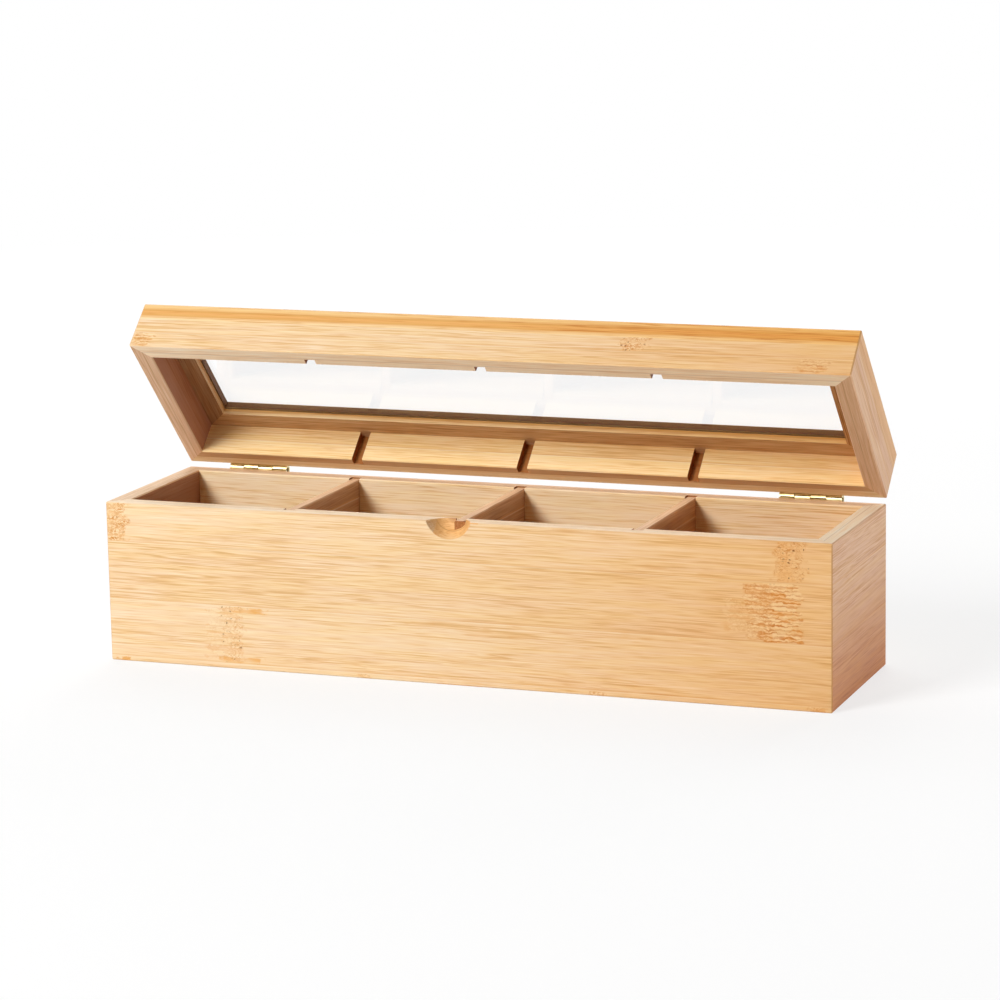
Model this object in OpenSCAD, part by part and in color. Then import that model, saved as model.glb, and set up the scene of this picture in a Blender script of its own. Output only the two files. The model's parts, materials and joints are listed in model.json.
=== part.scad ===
// Tea box: a long mitred carcass with four compartments and a hinged lid with a glass window.
// Millimetres. The origin is the middle of the underside, +X right, +Y back, +Z up.
// The lid is drawn shut and then swung open about the hinge pins by lid_angle.

/* [Box] */
// Outside length, left to right
box_length = 340; // [300:1:400]
// Outside depth, front to back
box_depth = 89; // [80:1:110]
// Height of the base, underside to rim
base_height = 73.5; // [60:0.5:95]
// Thickness of the base and lid boards
board_t = 8.8; // [8:0.1:11]
// Width of the small flat sanded on each outside edge
edge_ease = 0.5; // [0.3:0.1:0.8]

/* [Base panel] */
// Thickness of the panel that closes the underside
panel_t = 5; // [3:0.5:7]
// How far the rebate for the panel goes into each board
rebate_depth = 4; // [3:0.5:5]
// Gap between the edge of the panel and its rebate
panel_gap = 0.15; // [0.1:0.05:0.3]

/* [Dividers] */
// Thickness of each divider
divider_t = 5; // [4:0.2:6]
// Depth of the grooves that hold the dividers
dado_depth = 3.5; // [2:0.5:4]
// Side clearance of a divider in its groove
dado_clear = 0.05; // [0.03:0.01:0.1]
// Clearance at each end of a divider
dado_end_gap = 0.1; // [0.05:0.05:0.3]
// How far the dividers stay below the rim
divider_drop = 0.6; // [0.4:0.1:3]

/* [Finger scoop] */
// Radius of the ball that scoops out the front rim
scoop_r = 11.4; // [9:0.1:13]
// Height of the middle of the ball above the rim
scoop_up = 3; // [1:0.5:5]
// Thickness of the strip of rim left behind the scoop
scoop_rim = 0.9; // [0.6:0.1:3]
// How far the scoop is from the middle of the front, minus is left
scoop_shift = -3.4; // [-10:0.2:10]

/* [Lid] */
// Opening angle of the lid
lid_angle = 47; // [0:1:180]
// Gap between the rims when the lid is shut
lid_gap = 0.3; // [0.2:0.1:0.5]
// Height of the lid boards below the window frame
lid_board_h = 15.8; // [14.5:0.1:20]
// Thickness of the window frame glued on the lid boards
frame_t = 8.7; // [7.6:0.1:10]
// Width of the window frame rails
rail_w = 18; // [14:0.5:22]

/* [Window glass] */
// Thickness of the pane
glass_t = 2; // [1.5:0.5:3]
// Thickness of the frame's lip under the pane
glass_lip = 3; // [2:0.1:3.6]
// Depth of the groove that holds the pane
glass_bite = 5; // [3:0.5:6]
// Play of the pane in the thickness of its groove
glass_slack = 0.2; // [0.1:0.1:0.4]
// Clearance round the edge of the pane
glass_end_gap = 0.5; // [0.2:0.1:1]

/* [Hinges] */
// Length of each hinge along the pin
hinge_length = 29; // [26:1:36]
// Distance from the end of the box to the hinge
hinge_inset = 20.5; // [16:0.5:30]
// Thickness of the leaf metal, which is also the wall of the knuckles
leaf_t = 1; // [0.8:0.1:1.2]
// Reach of each leaf from the pin
leaf_reach = 13; // [11.5:0.5:14]
// Corner cut of each leaf
leaf_corner = 1; // [0.5:0.1:2]
// Radius of the hinge pin
pin_r = 1.2; // [1:0.05:1.4]
// Radial running clearance of the knuckles on the pin
pin_clear = 0.05; // [0.02:0.01:0.08]
// Gap between neighbouring knuckles
knuckle_gap = 0.3; // [0.2:0.05:0.5]
// How far each end of the pin sits inside the barrel
pin_recess = 0.3; // [0.1:0.1:0.8]
// Gap between the barrel and the back of the box
barrel_gap = 0.25; // [0.2:0.05:0.5]

/* [Screws] */
// Radius of the countersunk heads
screw_head_r = 2.1; // [1.8:0.1:2.4]
// Radius of the shanks
screw_shank_r = 1.1; // [0.9:0.1:1.3]
// Length from the face of the head to the tip
screw_length = 7; // [6:0.5:7.5]
// Length of the pointed tip
screw_tip = 1.6; // [1:0.2:2.4]
// Distance from the end of the leaf to the middle of a screw
screw_inset = 6; // [4.5:0.5:7]
// Clearance round a screw in the leaf and in the board
screw_clear = 0.04; // [0.03:0.01:0.08]
// Width of the arms of the cross recess
recess_w = 0.6; // [0.4:0.1:0.8]
// Depth of the cross recess
recess_depth = 0.6; // [0.4:0.1:0.8]

/* [Hidden] */

$fn = 64;
past = 1; // how far a cutting shape runs past what it cuts

// Inside of the base and its four equal compartments
inner_length = box_length - 2 * board_t;
inner_depth = box_depth - 2 * board_t;
divider_count = 3;
compartment = (inner_length - divider_count * divider_t) / (divider_count + 1);
divider_pitch = compartment + divider_t;
dado_w = divider_t + 2 * dado_clear;
divider_length = inner_depth + 2 * (dado_depth - dado_end_gap);

// How far the middle of the scooping ball is in front of the front face
scoop_out = sqrt(scoop_r * scoop_r - scoop_up * scoop_up) - (board_t - scoop_rim);

// Heights of the shut lid
lid_z = base_height + lid_gap;
frame_z = lid_z + lid_board_h;
glass_z = frame_z + glass_lip;

// Hinge line, behind the back face and half way up the gap between the rims
barrel_r = pin_r + pin_clear + leaf_t;
axis_out = barrel_r + barrel_gap;
axis_y = box_depth / 2 + axis_out;
axis_z = base_height + lid_gap / 2;
hinge_x = box_length / 2 - hinge_inset - hinge_length / 2;
knuckle_count = 4;
knuckle_length = (hinge_length - (knuckle_count - 1) * knuckle_gap) / knuckle_count;
plate_start = barrel_r + barrel_gap;
screw_drop = (leaf_reach + plate_start) / 2;
screw_span = hinge_length / 2 - screw_inset;

light_bamboo = [0.93, 0.77, 0.55];
edge_bamboo = [0.85, 0.64, 0.41];
pale_bamboo = [0.88, 0.71, 0.50];
brass = [0.80, 0.66, 0.32];
clear_glass = [0.85, 0.92, 0.92, 0.45];

// Sections of the boards: x runs inwards from the outside face, y runs up

function base_section() = [
    [edge_ease, 0],
    [board_t - rebate_depth, 0],
    [board_t - rebate_depth, panel_t],
    [board_t, panel_t],
    [board_t, base_height - edge_ease],
    [board_t - edge_ease, base_height],
    [edge_ease, base_height],
    [0, base_height - edge_ease],
    [0, edge_ease]
];

function lid_section() = [
    [edge_ease, 0],
    [board_t - edge_ease, 0],
    [board_t, edge_ease],
    [board_t, lid_board_h],
    [0, lid_board_h],
    [0, edge_ease]
];

function rail_section() = [
    [0, 0],
    [rail_w, 0],
    [rail_w, glass_lip],
    [rail_w - glass_bite, glass_lip],
    [rail_w - glass_bite, glass_lip + glass_t + glass_slack],
    [rail_w, glass_lip + glass_t + glass_slack],
    [rail_w, frame_t - edge_ease],
    [rail_w - edge_ease, frame_t],
    [edge_ease, frame_t],
    [0, frame_t - edge_ease]
];

// Length of the side of the box that a board lies on
function side_length(side) = (side == "front" || side == "back") ? box_length : box_depth;

// A board with its outside face on y = 0, mitred at both ends, its outside corners eased
module mitred_board(section, length, width, height) {
    half = length / 2;
    plan = [
        [-half + edge_ease, 0],
        [half - edge_ease, 0],
        [half - edge_ease / 2, edge_ease / 2],
        [half - width, width],
        [-half + width, width],
        [-half + edge_ease / 2, edge_ease / 2]
    ];
    intersection() {
        rotate([90, 0, 90]) linear_extrude(length, center = true) polygon(section);
        linear_extrude(height) polygon(plan);
    }
}

// Turns a board that was drawn along the front to one of the four sides
module on_side(side) {
    turn = side == "front" ? 0 : side == "right" ? 90 : side == "back" ? 180 : 270;
    reach = (side == "front" || side == "back") ? box_depth / 2 : box_length / 2;
    rotate([0, 0, turn]) translate([0, -reach, 0]) children();
}

// The grooves for the dividers, cut into the inside face of a front or back board
module dados(height) {
    for (i = [-1:1])
        translate([i * divider_pitch - dado_w / 2, board_t - dado_depth, -past])
            cube([dado_w, dado_depth + past, height + 2 * past]);
}

module finger_scoop() {
    translate([scoop_shift, -scoop_out, base_height + scoop_up]) sphere(r = scoop_r, $fn = 96);
}

// Moves a shape from the middle of a hinge pin to the left (-1) or right (1) hinge
module at_hinge(hand) {
    translate([hand * hinge_x, axis_y, axis_z]) children();
}

module at_both_hinges() {
    for (hand = [-1, 1]) at_hinge(hand) children();
}

// Swings the lid open about the pins
module swing_lid() {
    translate([0, axis_y, axis_z])
        rotate([-lid_angle, 0, 0])
            translate([0, -axis_y, -axis_z]) children();
}

// A countersunk screw with its head's face at the origin, pointing along -Y
module screw_shape(grow) {
    head = screw_head_r + grow;
    shank = screw_shank_r + grow;
    rotate([90, 0, 0])
        rotate_extrude()
            polygon([
                [0, -grow],
                [head, -grow],
                if (grow > 0) [head, 0],
                [shank, head - shank],
                [shank, screw_length - screw_tip],
                [0, screw_length + grow]
            ]);
}

// The two screw places of a leaf that hangs below the pin
module at_screws() {
    for (end = [-1, 1])
        translate([end * screw_span, leaf_t - axis_out, -screw_drop]) children();
}

module screw_spaces() {
    at_screws() screw_shape(screw_clear);
}

module cross_recess() {
    arm = screw_head_r * 1.2;
    for (turn = [0, 90])
        rotate([0, turn, 0])
            translate([-arm / 2, -recess_depth, -recess_w / 2])
                cube([arm, recess_depth + past, recess_w]);
}

module screws() {
    color(brass) at_screws() difference() {
        screw_shape(0);
        cross_recess();
    }
}

function knuckle_x(index) = -hinge_length / 2 + index * (knuckle_length + knuckle_gap);

// A leaf that hangs below the pin, with every second knuckle from the first one given
module leaf(first) {
    color(brass) difference() {
        union() {
            translate([0, -axis_out + leaf_t, 0]) rotate([90, 0, 0]) linear_extrude(leaf_t)
                polygon([
                    [-hinge_length / 2, -plate_start],
                    [-hinge_length / 2, -leaf_reach + leaf_corner],
                    [-hinge_length / 2 + leaf_corner, -leaf_reach],
                    [hinge_length / 2 - leaf_corner, -leaf_reach],
                    [hinge_length / 2, -leaf_reach + leaf_corner],
                    [hinge_length / 2, -plate_start]
                ]);
            for (index = [first:2:knuckle_count - 1]) translate([knuckle_x(index), 0, 0]) {
                rotate([0, 90, 0]) cylinder(r = barrel_r, h = knuckle_length);
                translate([0, -axis_out, -plate_start - past])
                    cube([knuckle_length, leaf_t, plate_start + past]);
            }
        }
        rotate([0, 90, 0])
            cylinder(r = pin_r + pin_clear, h = hinge_length + 2 * past, center = true);
        screw_spaces();
    }
}

module base_board(side) {
    color(light_bamboo) difference() {
        on_side(side) difference() {
            mitred_board(base_section(), side_length(side), board_t, base_height);
            if (side == "front" || side == "back") dados(base_height);
            if (side == "front") finger_scoop();
        }
        if (side == "back") at_both_hinges() screw_spaces();
    }
}

module base_panel() {
    width = inner_depth + 2 * (rebate_depth - panel_gap);
    length = inner_length + 2 * (rebate_depth - panel_gap);
    color(pale_bamboo) translate([-length / 2, -width / 2, 0]) cube([length, width, panel_t]);
}

module divider(place) {
    top = base_height - divider_drop;
    half = divider_t / 2;
    color(edge_bamboo)
        translate([place * divider_pitch, divider_length / 2, 0])
            rotate([90, 0, 0])
                linear_extrude(divider_length)
                    polygon([
                        [-half, panel_t], [half, panel_t],
                        [half, top - edge_ease], [half - edge_ease, top],
                        [-half + edge_ease, top], [-half, top - edge_ease]
                    ]);
}

module lid_board(side) {
    color(light_bamboo) swing_lid() difference() {
        translate([0, 0, lid_z]) on_side(side) difference() {
            mitred_board(lid_section(), side_length(side), board_t, lid_board_h);
            if (side == "front" || side == "back") dados(lid_board_h);
        }
        if (side == "back") at_both_hinges() mirror([0, 0, 1]) screw_spaces();
    }
}

module frame_rail(side) {
    color(edge_bamboo) swing_lid() translate([0, 0, frame_z]) on_side(side)
        mitred_board(rail_section(), side_length(side), rail_w, frame_t);
}

module window_glass() {
    inset = rail_w - glass_bite + glass_end_gap;
    length = box_length - 2 * inset;
    width = box_depth - 2 * inset;
    color(clear_glass) swing_lid()
        translate([-length / 2, -width / 2, glass_z]) cube([length, width, glass_t]);
}

module base_leaf(hand) {
    at_hinge(hand) leaf(1);
}

module lid_leaf(hand) {
    at_hinge(hand) rotate([-lid_angle, 0, 0]) mirror([0, 0, 1]) leaf(0);
}

module hinge_pin(hand) {
    color(brass) at_hinge(hand) rotate([0, 90, 0])
        cylinder(r = pin_r, h = hinge_length - 2 * pin_recess, center = true);
}

module base_screws(hand) {
    at_hinge(hand) screws();
}

module lid_screws(hand) {
    at_hinge(hand) rotate([-lid_angle, 0, 0]) mirror([0, 0, 1]) screws();
}

base_board("front");  // base_front_board
base_board("back");  // base_back_board
base_board("left");  // base_left_board
base_board("right");  // base_right_board
base_panel();
divider(-1);  // divider_left
divider(0);  // divider_middle
divider(1);  // divider_right
lid_board("front");  // lid_front_board
lid_board("back");  // lid_back_board
lid_board("left");  // lid_left_board
lid_board("right");  // lid_right_board
frame_rail("front");  // frame_front_rail
frame_rail("back");  // frame_back_rail
frame_rail("left");  // frame_left_rail
frame_rail("right");  // frame_right_rail
window_glass();
base_leaf(-1);  // hinge_left_base_leaf
lid_leaf(-1);  // hinge_left_lid_leaf
hinge_pin(-1);  // hinge_left_pin
base_screws(-1);  // hinge_left_base_screws
lid_screws(-1);  // hinge_left_lid_screws
base_leaf(1);  // hinge_right_base_leaf
lid_leaf(1);  // hinge_right_lid_leaf
hinge_pin(1);  // hinge_right_pin
base_screws(1);  // hinge_right_base_screws
lid_screws(1);  // hinge_right_lid_screws
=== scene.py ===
# Bamboo tea box with a window lid: finishes, hinges and studio around the fixed model
import json
import math

import bmesh
import bpy
from mathutils import Matrix, Vector


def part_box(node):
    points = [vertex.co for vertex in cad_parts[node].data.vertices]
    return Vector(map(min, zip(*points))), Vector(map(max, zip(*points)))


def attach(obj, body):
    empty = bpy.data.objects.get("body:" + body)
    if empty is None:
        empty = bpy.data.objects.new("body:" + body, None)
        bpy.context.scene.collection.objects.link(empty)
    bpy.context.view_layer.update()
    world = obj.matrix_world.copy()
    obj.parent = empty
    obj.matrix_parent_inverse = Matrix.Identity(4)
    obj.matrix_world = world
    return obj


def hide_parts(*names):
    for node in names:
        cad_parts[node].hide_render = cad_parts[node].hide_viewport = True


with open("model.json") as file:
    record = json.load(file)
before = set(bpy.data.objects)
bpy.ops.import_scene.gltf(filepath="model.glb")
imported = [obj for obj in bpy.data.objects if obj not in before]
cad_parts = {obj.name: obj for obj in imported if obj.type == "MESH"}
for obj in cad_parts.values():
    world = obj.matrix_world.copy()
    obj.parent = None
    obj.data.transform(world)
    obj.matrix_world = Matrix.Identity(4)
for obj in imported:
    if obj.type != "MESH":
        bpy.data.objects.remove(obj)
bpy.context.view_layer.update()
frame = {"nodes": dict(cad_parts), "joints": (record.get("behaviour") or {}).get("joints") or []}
nodes = frame["nodes"]
scene = bpy.context.scene
print("frame loaded:", len(nodes), "pieces")

# The lid is modelled open, so its patterns are turned back to where it would be shut
lidHinge = frame["joints"][0]
hingeLine = Vector(lidHinge["pos_m"])
shutTurn = Matrix.Rotation(math.radians(lidHinge["range_deg"][0]), 4, Vector(lidHinge["axis"]))
shutLid = Matrix.Translation(hingeLine) @ shutTurn @ Matrix.Translation(-hingeLine)
lidFloor = min((shutLid @ v.co).z for v in nodes["lid_front_board"].data.vertices)

sideTurn = {"front": 0, "right": -90, "back": 180, "left": 90}


# Board space: x along the grain, y in from the outside face, z up from the board's lower edge
def boardSpace(side, onLid):
    low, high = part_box("base_front_board")
    reach = -low.y if side in ("front", "back") else high.x
    turn = Matrix.Rotation(math.radians(sideTurn[side]), 4, "Z")
    toShut = Matrix.Translation((0, 0, -lidFloor)) @ shutLid if onLid else Matrix.Identity(4)
    return Matrix.Translation((0, reach, 0)) @ turn @ toShut


def panelSpace():
    return Matrix.Rotation(math.radians(90), 4, "X")


def dividerSpace(name):
    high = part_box(name)[1]
    return Matrix.Rotation(math.radians(-90), 4, "Z") @ Matrix.Translation((-high.x, 0, 0))


# Small helpers for shader trees
def addNode(tree, kind, **values):
    node = tree.nodes.new("ShaderNode" + kind)
    for key, value in values.items():
        setattr(node, key, value)
    return node


def feed(tree, socket, term):
    if isinstance(term, bpy.types.NodeSocket):
        tree.links.new(term, socket)
    else:
        socket.default_value = term


def calc(tree, operation, *terms, clamp=False):
    node = addNode(tree, "Math", operation=operation, use_clamp=clamp)
    for socket, term in zip(node.inputs, terms):
        feed(tree, socket, term)
    return node.outputs[0]


def times(tree, product, *others):
    for other in others:
        product = calc(tree, "MULTIPLY", product, other)
    return product


def centred(tree, value):
    return calc(tree, "SUBTRACT", value, 0.5)


def remap(tree, value, fromLow, fromHigh, toLow=0.0, toHigh=1.0, smooth=False):
    node = addNode(tree, "MapRange", interpolation_type="SMOOTHSTEP" if smooth else "LINEAR")
    for socket, term in zip(node.inputs, (value, fromLow, fromHigh, toLow, toHigh)):
        feed(tree, socket, term)
    return node.outputs[0]


def linearColor(code):
    channels = [int(code[i:i + 2], 16) / 255 for i in (1, 3, 5)]
    return [c / 12.92 if c <= 0.04045 else ((c + 0.055) / 1.055) ** 2.4 for c in channels] + [1.0]


def mixColor(tree, factor, first, second, mode="MIX"):
    node = addNode(tree, "Mix", data_type="RGBA", blend_type=mode)
    feed(tree, node.inputs["Factor"], factor)
    for socket, term in ((node.inputs[6], first), (node.inputs[7], second)):
        feed(tree, socket, linearColor(term) if isinstance(term, str) else term)
    return node.outputs[2]


def ramp(tree, value, stops):
    node = addNode(tree, "ValToRGB")
    points = node.color_ramp.elements
    while len(points) < len(stops):
        points.new(0.5)
    for point, (place, code) in zip(points, stops):
        point.position = place
        point.color = linearColor(code)
    feed(tree, node.inputs[0], value)
    return node.outputs[0]


def mapped(tree, vector, kind="POINT", **values):
    node = addNode(tree, "Mapping", vector_type=kind)
    feed(tree, node.inputs["Vector"], vector)
    for label, value in values.items():
        node.inputs[label].default_value = value
    return node.outputs[0]


def turnedFlat(tree, vector, scale=(1, 1, 1)):
    # the plane of the board, laid where a flat texture takes it
    return mapped(tree, vector, Rotation=(math.radians(-90), 0, 0), Scale=scale)


def axesOf(tree, vector):
    node = addNode(tree, "SeparateXYZ")
    tree.links.new(vector, node.inputs[0])
    return node.outputs


def offsetVector(tree, vector, amount):
    node = addNode(tree, "VectorMath", operation="ADD")
    feed(tree, node.inputs[0], vector)
    feed(tree, node.inputs[1], amount)
    return node.outputs[0]


def noise(tree, vector, scale, detail=2.0, rough=0.5, warp=0.0):
    node = addNode(tree, "TexNoise")
    tree.links.new(mapped(tree, vector, Scale=scale), node.inputs["Vector"])
    node.inputs["Scale"].default_value = 1.0
    node.inputs["Detail"].default_value = detail
    node.inputs["Roughness"].default_value = rough
    node.inputs["Distortion"].default_value = warp
    return node.outputs["Fac"]


def newGroup(name, inputs, outputs):
    tree = bpy.data.node_groups.new(name, "ShaderNodeTree")
    for label, kind in inputs:
        tree.interface.new_socket(label, in_out="INPUT", socket_type="NodeSocket" + kind)
    for label, kind in outputs:
        tree.interface.new_socket(label, in_out="OUTPUT", socket_type="NodeSocket" + kind)
    return tree, tree.nodes.new("NodeGroupInput"), tree.nodes.new("NodeGroupOutput")


def useGroup(tree, group, **terms):
    node = tree.nodes.new("ShaderNodeGroup")
    node.node_tree = group
    for label, term in terms.items():
        feed(tree, node.inputs[label], term)
    return node.outputs


def newMaterial(name):
    material = bpy.data.materials.new(name)
    material.use_nodes = True
    tree = material.node_tree
    return material, tree, tree.nodes["Principled BSDF"]


# Most of a noise lies between these, and a colour that changes nothing when it multiplies
middle = (0.3, 0.7)
plain = "#ffffff"

# Fibres of laminated bamboo. Grains are cycles per metre along the board, through it and up it
fibre = {
    "plyDepth": 0.0048,       # where the two layers of a board meet
    "plyLine": 0.00025,       # half width of the line between them
    "plyCore": 0.4,           # share of that width at full strength
    "plyJump": 7.0,           # the inner layer takes its strips this far along the row of lots
    "stripJump": 3.0,         # and each strip takes its fibres from up to this far away
    "streak": (20, 1300, 1300),
    "streakShare": 0.80,
    "hair": (70, 1900, 1900),
    "hairShare": 0.95,
    "patch": (9, 100, 100),
    "patchShare": 0.3,
    "glow": (26, 300, 300),   # drift between the two tints of the cane
    "glowRange": (0.35, 0.65),
    "dash": (90, 900, 900),
    "dashRange": (0.56, 0.76),
    "dashCalm": (0.54, 0.38),     # no dashes where the patches are high
    "dashLots": (0.1, 0.8, 0.35, 1.0),        # some strips have more dashes than others
    "vein": (12, 780, 780),
    "veinDark": 0.050,        # half widths of the thin lines, in steps of the vein noise
    "veinPale": 0.035,
    "veinGap": 0.085,         # the pale line runs beside the dark one
    "veinDarkShare": 0.36,
    "veinPaleShare": 0.26,
    "veinCalm": (0.66, 0.40, 0.2, 1.0),       # veins are weaker where the patches are high
    "sway": (10, 30, 30),
    "swayDepth": 0.0016,
    "seamDark": 0.0011,       # dark line over a seam
    "seamPale": 0.0007,       # pale line under it
}


def makeFigureGroup():
    tree, start, end = newGroup(
        "bambooFigure",
        [("Vector", "Vector"), ("Pitch", "Float"), ("Start", "Float"), ("Seed", "Float")],
        [("Tone", "Float"), ("Hair", "Float"), ("Dash", "Float"), ("Glow", "Float"),
         ("SeamDark", "Float"), ("SeamPale", "Float"), ("Random", "Float")],
    )
    pitch = start.outputs["Pitch"]
    axes = axesOf(tree, start.outputs["Vector"])
    place = calc(tree, "DIVIDE", calc(tree, "SUBTRACT", axes["Z"], start.outputs["Start"]), pitch)
    ply = calc(tree, "GREATER_THAN", axes["Y"], fibre["plyDepth"])
    cell = calc(tree, "MULTIPLY_ADD", ply, fibre["plyJump"], calc(tree, "FLOOR", place))
    lot = addNode(tree, "TexWhiteNoise", noise_dimensions="1D")
    tree.links.new(calc(tree, "ADD", cell, start.outputs["Seed"]), lot.inputs["W"])
    # height over the seam below, and under the seam above
    above = times(tree, calc(tree, "FRACT", place), pitch)
    below = calc(tree, "SUBTRACT", pitch, above)
    # each strip takes its fibres from another place
    shift = addNode(tree, "VectorMath", operation="SCALE")
    tree.links.new(lot.outputs["Color"], shift.inputs[0])
    shift.inputs["Scale"].default_value = fibre["stripJump"]
    moved = offsetVector(tree, start.outputs["Vector"], shift.outputs[0])
    push = addNode(tree, "CombineXYZ")
    sway = centred(tree, noise(tree, moved, fibre["sway"], detail=1.0))
    tree.links.new(times(tree, sway, fibre["swayDepth"]), push.inputs["Z"])
    at = offsetVector(tree, moved, push.outputs[0])
    streak = noise(tree, at, fibre["streak"], detail=2.0, rough=0.6)
    hair = noise(tree, at, fibre["hair"], detail=1.0, rough=0.6)
    patch = noise(tree, at, fibre["patch"], detail=1.0)
    dash = noise(tree, at, fibre["dash"], detail=1.0, warp=0.4)
    glow = noise(tree, at, fibre["glow"], detail=1.0)
    vein = centred(tree, noise(tree, at, fibre["vein"], detail=1.0))
    veinDark = remap(tree, calc(tree, "ABSOLUTE", vein), fibre["veinDark"], 0.0)
    besideVein = calc(tree, "ABSOLUTE", calc(tree, "SUBTRACT", vein, fibre["veinGap"]))
    veinPale = remap(tree, besideVein, fibre["veinPale"], 0.0)
    veins = calc(tree, "MULTIPLY_ADD", veinPale, fibre["veinPaleShare"],
                 times(tree, veinDark, -fibre["veinDarkShare"]))
    tone = times(tree, veins, remap(tree, patch, *fibre["veinCalm"]))
    for grain, share in ((streak, "streakShare"), (hair, "hairShare"), (patch, "patchShare")):
        tone = calc(tree, "MULTIPLY_ADD", centred(tree, grain), fibre[share], tone)
    dashes = times(tree, remap(tree, dash, *fibre["dashRange"]), remap(tree, patch, *fibre["dashCalm"]),
                   remap(tree, lot.outputs["Value"], *fibre["dashLots"]))
    results = {
        "Tone": calc(tree, "ADD", tone, 0.5),
        "Hair": hair,
        "Dash": dashes,
        "Random": lot.outputs["Value"],
        "Glow": remap(tree, glow, *fibre["glowRange"]),
        "SeamDark": remap(tree, above, 0.0, fibre["seamDark"], 1.0, 0.0),
        "SeamPale": remap(tree, below, 0.0, fibre["seamPale"], 1.0, 0.0),
    }
    for label, value in results.items():
        tree.links.new(value, end.inputs[label])
    return tree


# A soft-edged box in the plane of the board, for the marks where the cane had its joints
softEdge = {"Length": 0.0022, "Height": 0.0008}


def makeMarkGroup():
    tree, start, end = newGroup(
        "caneJoint",
        [("Vector", "Vector"), ("Along", "Float"), ("Up", "Float"), ("Length", "Float"),
         ("Height", "Float")],
        [("Mask", "Float")],
    )
    axes = axesOf(tree, start.outputs["Vector"])
    masks = []
    for axis, centre, size in (("X", "Along", "Length"), ("Z", "Up", "Height")):
        away = calc(tree, "ABSOLUTE", calc(tree, "SUBTRACT", axes[axis], start.outputs[centre]))
        edge = times(tree, start.outputs[size], 0.5)
        masks.append(remap(tree, away, edge, calc(tree, "SUBTRACT", edge, softEdge[size]), smooth=True))
    tree.links.new(times(tree, *masks), end.inputs[0])
    return tree


figureGroup = makeFigureGroup()
markGroup = makeMarkGroup()

# Tones at which a board's colours lie, from dark to pale: long boards, end boards and dividers, rims
canePlaces = (0.08, 0.30, 0.48, 0.66, 0.90)
endPlaces = (0.10, 0.32, 0.50, 0.68, 0.90)
rimPlaces = (0.10, 0.35, 0.60, 0.90)


def shades(places, codes):
    return list(zip(places, codes.split()))


bambooLook = {
    "stripPitch": 0.0265,
    "stripSpread": 0.12,        # how much the strips differ in tone
    "stops": shades(canePlaces, "#e4b781 #f0c999 #f7d6ac #f9dcb6 #ffe6c6"),
    "rimStops": shades(rimPlaces, "#efcba1 #fcdeb8 #ffe9ca #fff3dc"),
    "pinkColor": "#fffefe",     # the cane drifts between these two tints
    "yellowColor": "#fffdf1",
    "dashColor": "#e0a25a",
    "dashShare": 0.42,
    "seamColor": "#e2a660",
    "seamShare": 0.4,
    "paleColor": "#fdebcb",     # of the pale line under a seam
    "paleShare": 0.5,
    "plyColor": "#a8713a",
    "plyShare": 0.38,
    "waveColor": "#d3842c",
    "deepColor": "#eaa755",
    "fleckColor": "#fde4ba",
    "squiggleColor": "#d98e38",
    "smearColor": "#eda94c",
    "speckColor": "#8a4a14",
    "cornerColor": "#d29a5e",   # of the eased upright corners
    "cornerShare": 0.7,
    "lipHeight": 0.0205,        # the lip over the glass begins here
    "lipDepth": 0.0170,
    # from here on the colours multiply
    # painted shade on the lip over the glass
    "lipShadeColor": "#8b6c57",
    "scoopColor": "#ffe9c6",    # in the finger scoop
    "warmColor": "#f6e3c9",     # towards the right end of the box
    "warmReach": (-0.05, 0.17),
    "warmth": 1.0,
    "warmRim": 0.35,            # share of it on a rim
    "endColor": "#a8744a",      # on cuts across the grain
    "grooveShadeColor": "#a67a54",   # painted shade on the floors of grooves, which lie between the two faces
    "grooveFrom": 0.0035,       # by this much from the outer face
    "grooveSlack": 0.0005,      # and by this much from the inner one
    "innerDepth": 0.0,          # depth of the inner face, where the board has grooves
    "insideShadeColor": plain,       # painted shade on the inner face
    "insideFrom": (0.0062, 0.0066),
    "innerRimColor": plain,     # on the inner layer, on the rim
    "lowShadeColor": plain,          # painted shade towards the lower edge
    "lowReach": 0.06,
    # painted shade over the whole board
    "shadeTint": plain,
    "roughness": (0.45, 0.57),
    "sheen": 0.22,
    "relief": 0.00004,
    "reliefStrength": 0.35,
}

# The faces of a board are told by their normal: where each begins to count, and where it is full
faces = {
    "rim": (0.75, 0.95),
    "side": (0.6, 0.9),
    "cut": (0.9, 0.8),
    "across": (0.85, 0.95),
    "grooveFloor": (0.9, 0.98),
    "scoop": (0.995, 0.97),
    "corner": (0.3, 0.6),
}

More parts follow.
